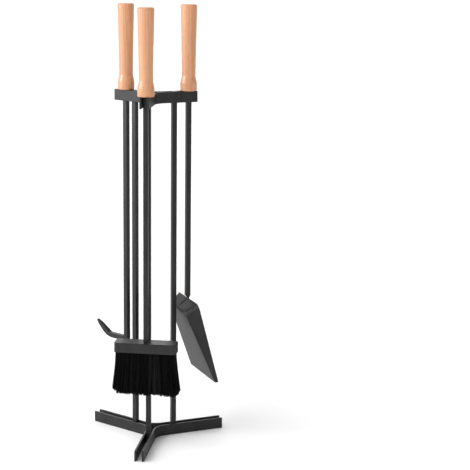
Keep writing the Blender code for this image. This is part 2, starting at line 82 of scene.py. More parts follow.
# ------------------------------------------------------------------------------- shader maths
class Shade:
    """A number or colour that varies over a surface; Python's operators add Math nodes to it."""

    def __init__(self, graph: "Graph", socket: bpy.types.NodeSocket) -> None:
        """Wrap one output socket of a graph."""
        self.graph = graph
        self.socket = socket

    def _join(self, operation: str, first: "Value", second: "Value") -> "Shade":
        """Add one Math node on two values."""
        return self.graph.node("ShaderNodeMath", {"operation": operation}, {0: first, 1: second})

    def __add__(self, other: "Value") -> "Shade":
        """Add."""
        return self._join("ADD", self, other)

    def __radd__(self, other: "Value") -> "Shade":
        """Add from the left."""
        return self._join("ADD", other, self)

    def __sub__(self, other: "Value") -> "Shade":
        """Subtract."""
        return self._join("SUBTRACT", self, other)

    def __rsub__(self, other: "Value") -> "Shade":
        """Subtract from the left."""
        return self._join("SUBTRACT", other, self)

    def __mul__(self, other: "Value") -> "Shade":
        """Multiply."""
        return self._join("MULTIPLY", self, other)

    def __rmul__(self, other: "Value") -> "Shade":
        """Multiply from the left."""
        return self._join("MULTIPLY", other, self)

    def sine(self) -> "Shade":
        """Return the sine of an angle in radians."""
        return self.graph.node("ShaderNodeMath", {"operation": "SINE"}, {0: self})

    def step(self, low: float, high: float) -> "Shade":
        """Return a smooth step from 0 at low to 1 at high."""
        return self.graph.node("ShaderNodeMapRange", {"interpolation_type": "SMOOTHSTEP"},
                               {"Value": self, "From Min": low, "From Max": high})


Value = Union[Shade, float, Sequence[float]]
Colour = tuple[float, float, float, float]
Triple = tuple[float, float, float]


@dataclass(frozen=True)
class Noise:
    """A noise in object space: grain per metre along X, Y and Z, octaves and their strength.

    The span is the part of it that is stretched from 0 to 1 where patches are wanted.
    """

    grain: Triple
    detail: float = 2.0
    rough: float = 0.5
    span: tuple[float, float] = (0.0, 1.0)


@dataclass(frozen=True)
class Relief:
    """How deep a bump is and how strongly it bends the light."""

    depth: float
    strength: float


class Graph:
    """The node tree of one material or world, with a single way to add a node."""

    def __init__(self, owner: Union[bpy.types.Material, bpy.types.World]) -> None:
        """Take over the owner's node tree."""
        owner.use_nodes = True
        self.tree = owner.node_tree

    def node(self, kind: str, settings: Optional[dict] = None, values: Optional[dict] = None,
             output: Union[int, str] = 0) -> Shade:
        """Add a node, apply its settings and fill or link its inputs.

        Args:
            kind: the node's type name.
            settings: properties set first.
            values: input name or number to a value or a Shade.
            output: the output that is returned.

        Returns:
            The chosen output as a Shade.
        """
        made = self.tree.nodes.new(kind)
        for key, value in (settings or {}).items():
            setattr(made, key, value)
        for key, value in (values or {}).items():
            self.feed(made.inputs[key], value)
        return Shade(self, made.outputs[output])

    def feed(self, target: bpy.types.NodeSocket, value: Value) -> None:
        """Link a Shade to an input, or set a plain value on it."""
        if isinstance(value, Shade):
            self.tree.links.new(value.socket, target)
        else:
            target.default_value = value

    def coordinates(self, scale: Triple) -> Shade:
        """Return Object coordinates stretched per axis."""
        place = self.node("ShaderNodeTexCoord", output="Object")
        return self.node("ShaderNodeMapping", {"vector_type": "POINT"},
                         {"Vector": place, "Scale": scale})

    def noise(self, kind: Noise) -> Shade:
        """Return a noise from 0 to 1."""
        return self.node("ShaderNodeTexNoise", None,
                         {"Vector": self.coordinates(kind.grain), "Scale": 1.0,
                          "Detail": kind.detail, "Roughness": kind.rough})

    def patches(self, kind: Noise) -> Shade:
        """Return 1 inside a noise's high patches, 0 outside them."""
        return self.noise(kind).step(*kind.span)

    def blend(self, share: Value, first: Value, second: Value) -> Shade:
        """Mix two colours by a share from 0 to 1."""
        return self.node("ShaderNodeMix", {"data_type": "RGBA"},
                         {0: share, 6: first, 7: second}, output=2)

    def bump(self, height: Shade, relief: Relief, under: Optional[Shade] = None) -> Shade:
        """Return a normal bent by a height; a second call may stack on the first."""
        values = {"Height": height, "Distance": relief.depth, "Strength": relief.strength}
        if under is not None:
            values["Normal"] = under
        return self.node("ShaderNodeBump", None, values, output="Normal")

    def principled(self, uniform: dict, varying: dict) -> None:
        """Fill the material's Principled shader."""
        shader = self.tree.nodes["Principled BSDF"]
        for key, value in {**uniform, **varying}.items():
            self.feed(shader.inputs[key], value)


class Peel(Enum):
    """How the powder coat has flowed out, by the depth and strength of its orange peel."""

    BAR = Relief(0.00003, 0.9)
    SHEET = Relief(0.000021, 0.9)


# ------------------------------------------------------------------------------- finishes
@dataclass(frozen=True)
class PowderCoat:
    """Satin black powder coat: faint orange peel, fine grain and cloudy sheen."""

    name: str = "black_powder_coat"
    peel: Peel = Peel.BAR
    dark: Colour = (0.012, 0.012, 0.0122, 1.0)
    light: Colour = (0.020, 0.020, 0.0203, 1.0)
    speck: Colour = (0.045, 0.045, 0.046, 1.0)
    clouds: Noise = Noise((38.0, 38.0, 26.0), 3.0, span=(0.30, 0.72))
    grit: Noise = Noise((2600.0, 2600.0, 2600.0), 1.0, span=(0.66, 0.80))
    flow: Noise = Noise((420.0, 420.0, 420.0))
    speck_share: float = 0.55
    rough: float = 0.38
    rough_by_cloud: float = 0.10
    rough_by_grit: float = 0.08
    grit_relief: Relief = Relief(0.00001, 0.5)
    ior: float = 1.37

    def make(self) -> bpy.types.Material:
        """Build the material."""
        result = bpy.data.materials.new(self.name)
        graph = Graph(result)
        clouds = graph.noise(self.clouds)
        grit = graph.noise(self.grit)
        colour = graph.blend(clouds.step(*self.clouds.span), self.dark, self.light)
        colour = graph.blend(grit.step(*self.grit.span) * self.speck_share, colour, self.speck)
        sheen = self.rough + clouds * self.rough_by_cloud + grit * self.rough_by_grit
        normal = graph.bump(graph.noise(self.flow), self.peel.value)
        normal = graph.bump(grit, self.grit_relief, normal)
        graph.principled({"IOR": self.ior},
                         {"Base Color": colour, "Roughness": sheen, "Normal": normal})
        return result


@dataclass(frozen=True)
class TurnedBeech:
    """Lacquered beech: upright growth bands, short dark flecks, open pores and soft lathe marks."""

    name: str = "beech"
    pale: Colour = (0.715, 0.362, 0.192, 1.0)
    warm: Colour = (0.595, 0.265, 0.137, 1.0)
    sapwood: Colour = (0.64, 0.370, 0.200, 1.0)
    fleck: Colour = (0.46, 0.190, 0.085, 1.0)
    ring: float = 0.0031
    ring_drift: float = 0.011
    pith: Triple = (0.31, -0.22, 0.0)
    drift: Noise = Noise((26.0, 26.0, 7.0))
    streaks: Noise = Noise((300.0, 300.0, 11.0), 4.0, 0.6)
    hairs: Noise = Noise((1500.0, 1500.0, 45.0))
    flecks: Noise = Noise((820.0, 820.0, 170.0), 1.0, span=(0.61, 0.72))
    pores: Noise = Noise((3600.0, 3600.0, 420.0), 1.0, span=(0.60, 0.75))
    mottle: Noise = Noise((85.0, 85.0, 34.0), 3.0, 0.6, (0.44, 0.66))
    lathe: Noise = Noise((4.0, 4.0, 1700.0), 1.0)
    band_share: float = 0.22
    streak_share: float = 0.50
    hair_share: float = 0.34
    warm_span: tuple[float, float] = (0.30, 0.86)
    end_span: tuple[float, float] = (0.25, 0.95)
    sapwood_share: float = 0.75
    fleck_share: float = 0.42
    pore_share: float = 0.16
    end_share: float = 0.34
    pore_relief: Relief = Relief(0.00002, 0.6)
    lathe_relief: Relief = Relief(0.000008, 0.5)
    rough: float = 0.42
    rough_by_streak: float = 0.12
    rough_by_fleck: float = 0.06
    coat: float = 0.20
    coat_rough: float = 0.20
    ior: float = 1.40

    def make(self) -> bpy.types.Material:
        """Build the material."""
        result = bpy.data.materials.new(self.name)
        graph = Graph(result)
        streaks = graph.noise(self.streaks)
        flecks = graph.patches(self.flecks)
        pores = graph.patches(self.pores)
        tone = self._bands(graph) * self.band_share + streaks * self.streak_share
        tone = tone + graph.noise(self.hairs) * self.hair_share
        colour = graph.blend(graph.patches(self.mottle) * self.sapwood_share, self.pale, self.sapwood)
        colour = graph.blend(tone.step(*self.warm_span), colour, self.warm)
        colour = graph.blend(flecks * self.fleck_share, colour, self.fleck)
        colour = graph.blend(pores * self.pore_share, colour, self.fleck)
        colour = graph.blend(self._ends(graph) * self.end_share, colour, self.fleck)
        normal = graph.bump(1.0 - pores, self.pore_relief)
        normal = graph.bump(graph.noise(self.lathe), self.lathe_relief, normal)
        rough = self.rough + streaks * self.rough_by_streak + flecks * self.rough_by_fleck
        graph.principled({"Coat Roughness": self.coat_rough, "IOR": self.ior,
                          "Coat Weight": self.coat},
                         {"Base Color": colour, "Roughness": rough, "Normal": normal})
        return result

    def _bands(self, graph: Graph) -> Shade:
        """Return the growth rings, from 0 to 1, round a pith that stands beside the set."""
        place = graph.node("ShaderNodeTexCoord", output="Object")
        flat = graph.node("ShaderNodeVectorMath", {"operation": "MULTIPLY"},
                          {0: place, 1: (1.0, 1.0, 0.0)})
        reach = graph.node("ShaderNodeVectorMath", {"operation": "DISTANCE"},
                           {0: flat, 1: self.pith}, output="Value")
        drift = graph.noise(self.drift) * self.ring_drift
        return ((reach + drift) * (math.tau / self.ring)).sine() * 0.5 + 0.5

    def _ends(self, graph: Graph) -> Shade:
        """Return 1 where the surface faces up or down, which shows end grain."""
        facing = graph.node("ShaderNodeNewGeometry", output="Normal")
        upward = graph.node("ShaderNodeSeparateXYZ", None, {0: facing}, output="Z")
        return (upward * upward).step(*self.end_span)


@dataclass(frozen=True)
class Metal:
    """Bare turned metal with fine tool marks."""

    name: str
    bright: Colour
    dull: Colour
    rough: float = 0.28
    marks: Noise = Noise((60.0, 60.0, 5200.0))
    stain: Noise = Noise((240.0, 240.0, 240.0), 3.0, span=(0.35, 0.75))
    rough_by_mark: float = 0.12
    rough_by_stain: float = 0.08
    mark_relief: Relief = Relief(0.00001, 0.6)

    def make(self) -> bpy.types.Material:
        """Build the material."""
        result = bpy.data.materials.new(self.name)
        graph = Graph(result)
        marks = graph.noise(self.marks)
        stain = graph.noise(self.stain)
        colour = graph.blend(stain.step(*self.stain.span), self.bright, self.dull)
        rough = self.rough + marks * self.rough_by_mark + stain * self.rough_by_stain
        graph.principled({"Metallic": 1.0},
                         {"Base Color": colour, "Roughness": rough,
                          "Normal": graph.bump(marks, self.mark_relief)})
        return result


BRASS = Metal("brass", (0.83, 0.62, 0.27, 1.0), (0.60, 0.42, 0.17, 1.0))
ZINC_PLATE = Metal("zinc_plate", (0.66, 0.67, 0.69, 1.0), (0.48, 0.49, 0.52, 1.0), 0.34)


@dataclass(frozen=True)
class BlackFibre:
    """Stiff black bristle: each fibre has its own depth of black, some broad clumps are greyer."""

    name: str = "black_fibre"
    dark: Colour = (0.0015, 0.0015, 0.0015, 1.0)
    light: Colour = (0.008, 0.008, 0.0084, 1.0)
    clump_grey: Colour = (0.026, 0.025, 0.025, 1.0)
    strands: Noise = Noise((900.0, 900.0, 14.0), span=(0.35, 0.75))
    scuffs: Noise = Noise((1200.0, 1200.0, 600.0))
    clumps: Noise = Noise((95.0, 95.0, 6.0), span=(0.56, 0.74))
    rough: float = 0.46
    rough_by_scuff: float = 0.16
    scuff_relief: Relief = Relief(0.00001, 0.4)
    ior: float = 1.46
    gloss: float = 0.07

    def make(self) -> bpy.types.Material:
        """Build the material."""
        result = bpy.data.materials.new(self.name)
        graph = Graph(result)
        strands = graph.noise(self.strands)
        scuffs = graph.noise(self.scuffs)
        colour = graph.blend(strands.step(*self.strands.span), self.dark, self.light)
        # some broad clumps of fibres are mixed toward a lighter grey
        colour = graph.blend(graph.patches(self.clumps) * strands, colour, self.clump_grey)
        rough = self.rough + scuffs * self.rough_by_scuff
        graph.principled({"IOR": self.ior, "Specular IOR Level": self.gloss},
                         {"Base Color": colour, "Roughness": rough,
                          "Normal": graph.bump(scuffs, self.scuff_relief)})
        return result


@dataclass(frozen=True)
class PaleFloor:
    """Plain white studio floor."""

    name: str = "pale_floor"
    light: Colour = (0.975, 0.975, 0.975, 1.0)
    shade: Colour = (0.955, 0.955, 0.955, 1.0)
    paper: Noise = Noise((30.0, 30.0, 30.0))
    rough: float = 0.85
    rough_by_paper: float = 0.05

    def make(self) -> bpy.types.Material:
        """Build the material."""
        result = bpy.data.materials.new(self.name)
        graph = Graph(result)
        paper = graph.noise(self.paper)
        graph.principled({"Specular IOR Level": 0.0},
                         {"Base Color": graph.blend(paper, self.light, self.shade),
                          "Roughness": self.rough + paper * self.rough_by_paper})
        return result


@dataclass
class Finishes:
    """Every material of the set, built once."""

    steel: bpy.types.Material = field(default_factory=PowderCoat().make)
    sheet: bpy.types.Material = field(
        default_factory=PowderCoat("black_powder_coat_sheet", Peel.SHEET).make)
    beech: bpy.types.Material = field(default_factory=TurnedBeech().make)
    brass: bpy.types.Material = field(default_factory=BRASS.make)
    zinc: bpy.types.Material = field(default_factory=ZINC_PLATE.make)
    fibre: bpy.types.Material = field(default_factory=BlackFibre().make)


class Slot(Enum):
    """The material slots."""

    STEEL = "black_powder_coat"
    BEECH = "beech"
    BRASS = "brass"
    ZINC = "zinc_plate"
    FIBRE = "black_fibre"


# ------------------------------------------------------------------------------- helpers
def linked(name: str, data: bpy.types.ID) -> bpy.types.Object:
    """Add an object with this data to the scene."""
    item = bpy.data.objects.new(name, data)
    bpy.context.scene.collection.objects.link(item)
    return item


def corners(node: str) -> tuple[Vector, Vector]:
    """Return the low and high corner of a CAD node's box."""
    low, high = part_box(node)
    return Vector(low), Vector(high)


def middle(node: str) -> Vector:
    """Return the centre of a CAD node's box."""
    low, high = corners(node)
    return (low + high) / 2


def mesh_of(name: str, shape: bmesh.types.BMesh, sharp_degrees: float = 50.0) -> bpy.types.Mesh:
    """Turn a finished bmesh into a smooth-shaded mesh and free it.

    Args:
        name: the mesh's name.
        shape: the bmesh.
        sharp_degrees: edges that bend more than this stay sharp.

    Returns:
        The new mesh.
    """
    mesh = bpy.data.meshes.new(name)
    shape.to_mesh(mesh)
    shape.free()
    mesh.shade_smooth()
    mesh.set_sharp_from_angle(angle=math.radians(sharp_degrees))
    return mesh


def add_piece(name: str, mesh: bpy.types.Mesh, finish: bpy.types.Material, body: str,
              replaces: Sequence[str] = ()) -> bpy.types.Object:
    """Add a finished piece, put it on its body and hide the CAD nodes that it stands for.

    Args:
        name: the piece's name.
        mesh: its mesh, in place.
        finish: its material.
        body: the body it rides on.
        replaces: the CAD nodes it stands for.

    Returns:
        The new object.
    """
    mesh.materials.clear()
    mesh.materials.append(finish)
    item = linked(name, mesh)
    even = item.modifiers.new("even_shading", "WEIGHTED_NORMAL")
    even.keep_sharp = True
    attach(item, body)
    if replaces:
        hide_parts(*replaces)
    log.info("piece %s rides on %s, %d faces", name, body, len(mesh.polygons))
    return item


def bent_edges(shape: bmesh.types.BMesh, degrees: float) -> list[bmesh.types.BMEdge]:
    """Return the edges whose two faces meet at more than an angle."""
    limit = math.radians(degrees)
    return [edge for edge in shape.edges if edge.is_manifold and edge.calc_face_angle() > limit]


def round_edges(shape: bmesh.types.BMesh, edges: Iterable[bmesh.types.BMEdge], width: float,
                segments: int) -> None:
    """Round edges by the same width everywhere."""
    bmesh.ops.bevel(shape, geom=list(edges), offset=width, offset_type="OFFSET", segments=segments,
                    profile=0.5, affect="EDGES", clamp_overlap=True, material=-1)


def softened_copy(node: str, width: float, segments: int = 2, bend: float = 24.0) -> bpy.types.Mesh:
    """Copy a CAD node with its triangles merged into faces and its edges rounded off.

    Args:
        node: the CAD node.
        width: how far the rounding reaches from each edge, 0 for none.
        segments: faces across the rounding.
        bend: edges that bend more than this many degrees are rounded.

    Returns:
        The new mesh.
    """
    shape = bmesh.new()
    shape.from_mesh(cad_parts[node].data)
    bmesh.ops.remove_doubles(shape, verts=shape.verts, dist=MERGE_DISTANCE)
    bmesh.ops.dissolve_limit(shape, angle_limit=math.radians(FLAT_DEGREES), verts=shape.verts,
                             edges=shape.edges, use_dissolve_boundaries=False)
    if width > 0.0:
        round_edges(shape, bent_edges(shape, bend), width, segments)
        bmesh.ops.remove_doubles(shape, verts=shape.verts, dist=SLIVER)
        bmesh.ops.dissolve_degenerate(shape, edges=shape.edges, dist=SLIVER)
        bmesh.ops.recalc_face_normals(shape, faces=shape.faces)
    return mesh_of(node, shape)


def spun(outline: Sequence[tuple[float, float]], steps: int) -> bmesh.types.BMesh:
    """Spin an outline of (radius, height) points round the upright axis.

    Args:
        outline: the points, from one end of the axis to the other.
        steps: how many steps round.

    Returns:
        A closed bmesh with its faces out.
    """
    shape = bmesh.new()
    points = [shape.verts.new((radius, 0.0, height)) for radius, height in outline]
    edges = [shape.edges.new(pair) for pair in zip(points, points[1:])]
    bmesh.ops.spin(shape, geom=points + edges, cent=(0, 0, 0), axis=(0, 0, 1), angle=math.tau,
                   steps=steps, use_merge=True)
    bmesh.ops.remove_doubles(shape, verts=shape.verts, dist=MERGE_DISTANCE)
    bmesh.ops.recalc_face_normals(shape, faces=shape.faces)
    return shape


def eased(share: float) -> float:
    """Return a share from 0 to 1 that starts and ends gently."""
    return share * share * (3 - 2 * share)


def arc(centre: tuple[float, float], radius: float, start: float, end: float,
        steps: int) -> list[tuple[float, float]]:
    """Return points on an arc, angles in degrees, both ends included."""
    angles = [math.radians(start + (end - start) * step / steps) for step in range(steps + 1)]
    return [(centre[0] + radius * math.cos(a), centre[1] + radius * math.sin(a)) for a in angles]


# ------------------------------------------------------------------------------- weld seams
@dataclass
class WeldSeam:
    """A short bead of weld, rippled by the torch and coated with the steel it joins."""

    start: Vector
    end: Vector
    radius: float = 0.0011
    pitch: float = 0.0009
    wobble: float = 0.00012
    start_share: float = 0.4
    valley_share: float = 0.84
    end_share: float = 0.45
    end_growth: float = 0.45
    sides: int = 8

    def add_to(self, shape: bmesh.types.BMesh, draw: random.Random) -> None:
        """Add the bead to a bmesh.

        Args:
            shape: the bmesh that collects the beads.
            draw: the source of the small irregularities.
        """
        run = self.end - self.start
        steps = 2 * max(4, round(run.length / self.pitch))
        bead = bmesh.new()
        bmesh.ops.create_circle(bead, cap_ends=True, cap_tris=False, segments=self.sides,
                                radius=self.radius * self.start_share)
        ring = list(bead.faces)
        for step in range(1, steps + 1):
            grown = bmesh.ops.extrude_face_region(bead, geom=ring)["geom"]
            if step > 1:
                bmesh.ops.delete(bead, geom=ring, context="FACES_ONLY")
            ring = [item for item in grown if isinstance(item, bmesh.types.BMFace)]
            reach = self._reach(step, steps) + draw.uniform(-self.wobble, self.wobble)
            for vert in (item for item in grown if isinstance(item, bmesh.types.BMVert)):
                flat = Vector((vert.co.x, vert.co.y)).normalized() * reach
                vert.co = Vector((flat.x, flat.y, run.length * step / steps))
        bmesh.ops.recalc_face_normals(bead, faces=bead.faces)
        turn = run.to_track_quat("Z", "Y").to_matrix().to_4x4()
        bmesh.ops.transform(bead, matrix=Matrix.Translation(self.start) @ turn, verts=bead.verts)
        part = bpy.data.meshes.new("bead")
        bead.to_mesh(part)
        bead.free()
        shape.from_mesh(part)
        bpy.data.meshes.remove(part)

    def _reach(self, step: int, steps: int) -> float:
        """Return the bead's radius at a step: ripples along it and a taper at both ends."""
        swell = 1.0 if step % 2 else self.valley_share
        return self.radius * swell * min(1.0, self.end_share + self.end_growth * min(step, steps - step))


# ------------------------------------------------------------------------------- stand
@dataclass
class Stand:
    """Two stars of bent flat bar and the three posts that they hold."""

    body: str = "stand"
    levels: tuple[str, ...] = ("base", "top")
    strips: tuple[str, ...] = ("base_strip_back", "base_strip_front_left", "base_strip_front_right",
                               "top_strip_back", "top_strip_front_left", "top_strip_front_right")
    posts: tuple[str, ...] = ("post_front", "post_left", "post_right")
    bar: float = 0.008
    strip_rounding: float = 0.00034
    post_rounding: float = 0.00017
    seam_inset: float = 0.0022
    seed: int = 7

    def outward(self, place: Vector) -> Vector:
        """Return the level way from the stars' axis, which the posts stand round, to a place."""
        axis = sum((middle(post) for post in self.posts), Vector()) / len(self.posts)
        return Vector((place.x - axis.x, place.y - axis.y, 0.0)).normalized()

    def build(self, finishes: Finishes) -> None:
        """Build and dress the stand."""
        for nodes, rounding in ((self.strips, self.strip_rounding), (self.posts, self.post_rounding)):
            for node in nodes:
                mesh = softened_copy(node, rounding)
                add_piece(f"{node}_coated", mesh, finishes.steel, self.body, [node])
        self._weld(finishes)

    def _weld(self, finishes: Finishes) -> None:
        """Run a seam down both inner corners of each post, in both stars."""
        draw = random.Random(self.seed)
        for level in self.levels:
            low, high = corners(f"{level}_strip_back")
            shape = bmesh.new()
            for post in self.posts:
                outward = self.outward(middle(post))
                for side in (-self.bar / 2, self.bar / 2):
                    corner = middle(post) - outward * (self.bar / 2) + UP.cross(outward) * side
                    start = Vector((corner.x, corner.y, low.z + self.seam_inset))
                    end = Vector((corner.x, corner.y, high.z - self.seam_inset))
                    WeldSeam(start, end).add_to(shape, draw)
            mesh = mesh_of(f"{level}_weld_seams", shape, WELD_SHARP_DEGREES)
            add_piece(mesh.name, mesh, finishes.steel, self.body)


# ------------------------------------------------------------------------------- handles
@dataclass
class Handle:
    """A turned handle: long taper, narrow waist, flare and a straight collar."""

    tool: str
    waist: float = 0.0224
    waist_height: float = 0.026
    collar_height: float = 0.011
    crown_rounding: float = 0.0032
    crown_rise: float = 0.00035
    crown_shape: tuple[tuple[float, float], ...] = ((0.5, 0.25), (0.92, 1.0))
    crown_degrees: float = 84.0
    crown_relief: float = 0.00005
    foot_rounding: float = 0.001
    swell: float = 1.35
    bore: float = 0.0050
    bore_depth: float = 0.022
    crown_steps: int = 8
    taper_steps: int = 16
    flare_steps: int = 14
    foot_steps: int = 5
    steps: int = 80
    sharp_degrees: float = 60.0

    def outline(self, top: float, collar: float, length: float) -> list[tuple[float, float]]:
        """Return the outside from the crown down to the underside, then the bore.

        Args:
            top: radius at the crown.
            collar: radius of the collar.
            length: the handle's full length.

        Returns:
            Points of (radius, height above the underside).
        """
        waist = self.waist / 2
        taper_top = length - self.crown_rounding
        flat = top - self.crown_rounding
        points = [(0.0, length)]
        points += [(flat * reach, length - self.crown_rise * drop) for reach, drop in self.crown_shape]
        points += arc((flat, taper_top - self.crown_rise), self.crown_rounding,
                      self.crown_degrees, 0.0, self.crown_steps)
        for step in range(1, self.taper_steps):
            share = step / self.taper_steps
            drop = 1.0 - (1.0 - share) ** self.swell
            height = taper_top + (self.waist_height - taper_top) * share
            points.append((top + (waist - top) * drop, height))
        for step in range(self.flare_steps + 1):
            share = step / self.flare_steps
            height = self.waist_height + (self.collar_height - self.waist_height) * share
            points.append((waist + (collar - waist) * eased(share), height))
        points += arc((collar - self.foot_rounding, self.foot_rounding), self.foot_rounding,
                      0.0, -90.0, self.foot_steps)
        return points + [(self.bore, 0.0), (self.bore, self.bore_depth), (0.0, self.bore_depth)]

    def build(self, finishes: Finishes) -> None:
        """Build the wooden handle and dress its insert."""
        node = f"{self.tool}_handle"
        low, high = corners(node)
        radius = (high.x - low.x) / 2
        shape = spun(self.outline(radius - self.crown_relief, radius, high.z - low.z), self.steps)
        axis = middle(node)
        bmesh.ops.translate(shape, vec=(axis.x, axis.y, low.z), verts=shape.verts)
        add_piece(f"{node}_turned", mesh_of(node, shape, self.sharp_degrees), finishes.beech,
                  self.tool, [node])
        insert = f"{self.tool}_insert"
        add_piece(f"{insert}_brass", softened_copy(insert, 0.0), finishes.brass, self.tool,
                  [insert])


# ------------------------------------------------------------------------------- poker
@dataclass
class Poker:
    """Square rod drawn to a point, with a forged hook welded to its side."""

    body: str = "poker"
    edge_rounding: float = 0.00017

    def build(self, finishes: Finishes) -> None:
        """Build and dress the poker."""
        for node in ("poker_rod", "poker_hook"):
            add_piece(f"{node}_coated", softened_copy(node, self.edge_rounding), finishes.steel,
                      self.body, [node])
        Handle(self.body).build(finishes)


# ------------------------------------------------------------------------------- brush
@dataclass(frozen=True)
class RootField:
    """Where the fibres run: the middle and half size of the cap's inside, and both end heights."""

    centre: Vector
    half: tuple[float, float]
    top: float
    foot: float


@dataclass(frozen=True)
class Tuft:
    """One small bundle of fibres: its place in the field (-1 to 1), its lean and extra length."""

    share: tuple[float, float]
    lean: tuple[float, float]
    longer: float


@dataclass
class Brush:
    """Square rod, folded steel cap and tufts of stiff bristles.

    The bristles are longest at the right-hand side, worn back at both ends and splayed at the foot.
    """

    body: str = "brush"
    edge_rounding: float = 0.00017
    nut_rounding: float = 0.0002
    cap_wall: float = 0.0012
    cap_corner: float = 0.0055
    cap_corner_segments: int = 8
    cap_brow: float = 0.0009
    cap_brow_segments: int = 4

    tufts: tuple[int, int] = (15, 4)
    fibres_per_tuft: int = 60
    fibre_radius: float = 0.00034
    fibre_taper: float = 0.15
    fibre_points: int = 5
    root_inset: float = 0.0012
    root_shares: tuple[float, float] = (0.985, 0.94)
    overlap: float = 1.15
    gather: float = 0.45
    splay: tuple[float, float] = (0.0062, 0.0032)
    tuft_lean: tuple[float, float] = (0.0007, 0.0006)
    fibre_stray: float = 0.0004
    bow: float = 1.35
    raggedness: float = 0.0009
    foot_slope: float = 0.0024
    worn_share: float = 0.22
    worn_left: float = 0.0085
    worn_right: float = 0.0050
    seed: int = 21

    def build(self, finishes: Finishes) -> None:
        """Build and dress the brush."""
        add_piece("brush_rod_coated", softened_copy("brush_rod", self.edge_rounding),
                  finishes.steel, self.body, ["brush_rod"])
        add_piece("brush_cap_folded", self._cap(), finishes.sheet, self.body,
                  ["brush_cap"])
        add_piece("brush_block_plain", softened_copy("brush_block", 0.0), finishes.beech,
                  self.body, ["brush_block"])
        add_piece("brush_nut_plain", softened_copy("brush_nut", self.nut_rounding),
                  finishes.zinc, self.body, ["brush_nut"])
        add_piece("brush_bristle_tuft", self._bristles(), finishes.fibre, self.body,
                  ["brush_bristles"])
        Handle(self.body).build(finishes)

    def _cap(self) -> bpy.types.Mesh:
        """Fold the cap: a shallow tray upside down, rounded at the corners, open below."""
        low, high = corners("brush_cap")
        size = high - low
        shape = bmesh.new()
        bmesh.ops.create_cube(shape, size=1.0)
        bmesh.ops.scale(shape, vec=size, verts=shape.verts)
        upright = [edge for edge in shape.edges
                   if abs(edge.verts[0].co.z - edge.verts[1].co.z) > size.z / 2]
        round_edges(shape, upright, self.cap_corner, self.cap_corner_segments)
        mouth = min(shape.faces, key=lambda face: face.calc_center_median().z)
        bmesh.ops.delete(shape, geom=[mouth], context="FACES_ONLY")
        top = [edge for edge in shape.edges
               if min(vert.co.z for vert in edge.verts) > size.z / 2 - MERGE_DISTANCE]
        round_edges(shape, top, self.cap_brow, self.cap_brow_segments)
        bmesh.ops.recalc_face_normals(shape, faces=shape.faces)
        bmesh.ops.solidify(shape, geom=list(shape.faces), thickness=self.cap_wall)
        bmesh.ops.recalc_face_normals(shape, faces=shape.faces)
        bmesh.ops.translate(shape, vec=(low + high) / 2, verts=shape.verts)
        return mesh_of("brush_cap", shape)

    def _bristles(self) -> bpy.types.Mesh:
        """Grow the tufts as thin round curves and turn them into one mesh."""
        curve = bpy.data.curves.new("bristles", "CURVE")
        curve.dimensions = "3D"
        curve.bevel_depth = self.fibre_radius
        curve.bevel_resolution = 0
        curve.use_fill_caps = True
        self._grow(curve)
        item = linked("bristles", curve)
        bpy.context.view_layer.update()
        graph = bpy.context.evaluated_depsgraph_get()
        mesh = bpy.data.meshes.new_from_object(item.evaluated_get(graph))
        bpy.data.objects.remove(item)
        mesh.name = "brush_bristles"
        return mesh

    def _grow(self, curve: bpy.types.Curve) -> None:
        """Add every fibre, tuft by tuft, over the cap's inside."""
        draw = random.Random(self.seed)
        inset = self.cap_wall + self.root_inset
        low, high = corners("brush_bristles")
        cap_low, cap_high = corners("brush_cap")
        half = (cap_high - cap_low) / 2
        inside = RootField((cap_low + cap_high) / 2, (half.x - inset, half.y - inset), high.z, low.z)
        across, deep = self.tufts
        for column in range(across):
            for row in range(deep):
                share = ((column + 0.5) / across * 2 - 1, (row + 0.5) / deep * 2 - 1)
                lean = (draw.gauss(0, self.tuft_lean[0]), draw.gauss(0, self.tuft_lean[1]))
                tuft = Tuft(share, lean, abs(draw.gauss(0, self.raggedness)))
                for _ in range(self.fibres_per_tuft):
                    self._fibre(curve, draw, inside, tuft)

    def _fibre(self, curve: bpy.types.Curve, draw: random.Random, roots: RootField,
               tuft: Tuft) -> None:
        """Add one fibre to the curve.

        Args:
            curve: the curve that collects the fibres.
            draw: the source of the irregularities.
            roots: the field that the fibre grows in.
            tuft: the bundle that it belongs to.
        """
        root = [self._root(draw, roots, tuft, way) for way in (0, 1)]
        set_x, set_y = (place / half for place, half in zip(root, roots.half))
        home = (tuft.share[0] * roots.half[0] - root[0]) * self.gather * (1.0 - abs(tuft.share[0]))
        end_x = root[0] + home + self.splay[0] * set_x
        end_x += tuft.lean[0] + draw.gauss(0, self.fibre_stray)
        end_y = root[1] + self.splay[1] * set_y + tuft.lean[1] + draw.gauss(0, self.fibre_stray)
        ragged = abs(draw.gauss(0, self.raggedness)) + tuft.longer
        end_z = roots.foot + self._worn(set_x) + ragged
        spline = curve.splines.new("POLY")
        spline.points.add(self.fibre_points - 1)
        for index, point in enumerate(spline.points):
            along = index / (self.fibre_points - 1)
            bent = along ** self.bow
            point.co = (roots.centre.x + root[0] + (end_x - root[0]) * bent,
                        roots.centre.y + root[1] + (end_y - root[1]) * bent,
                        roots.top + (end_z - roots.top) * along, 1.0)
            point.radius = 1.0 - self.fibre_taper * along

    def _root(self, draw: random.Random, roots: RootField, tuft: Tuft, way: int) -> float:
        """Return how far from the middle a fibre starts, across (0) or deep (1)."""
        place = tuft.share[way] + draw.uniform(-1.0, 1.0) * self.overlap / self.tufts[way]
        return roots.half[way] * max(-1.0, min(1.0, place * self.root_shares[way]))

    def _worn(self, set_x: float) -> float:
        """Return how much shorter the fibres are at a place across the brush, -1 to 1."""
        edge = max(0.0, abs(set_x) - (1.0 - self.worn_share)) / self.worn_share
        deepest = self.worn_left if set_x < 0 else self.worn_right
        return self.foot_slope * (1.0 - set_x) / 2 + edge * edge * deepest


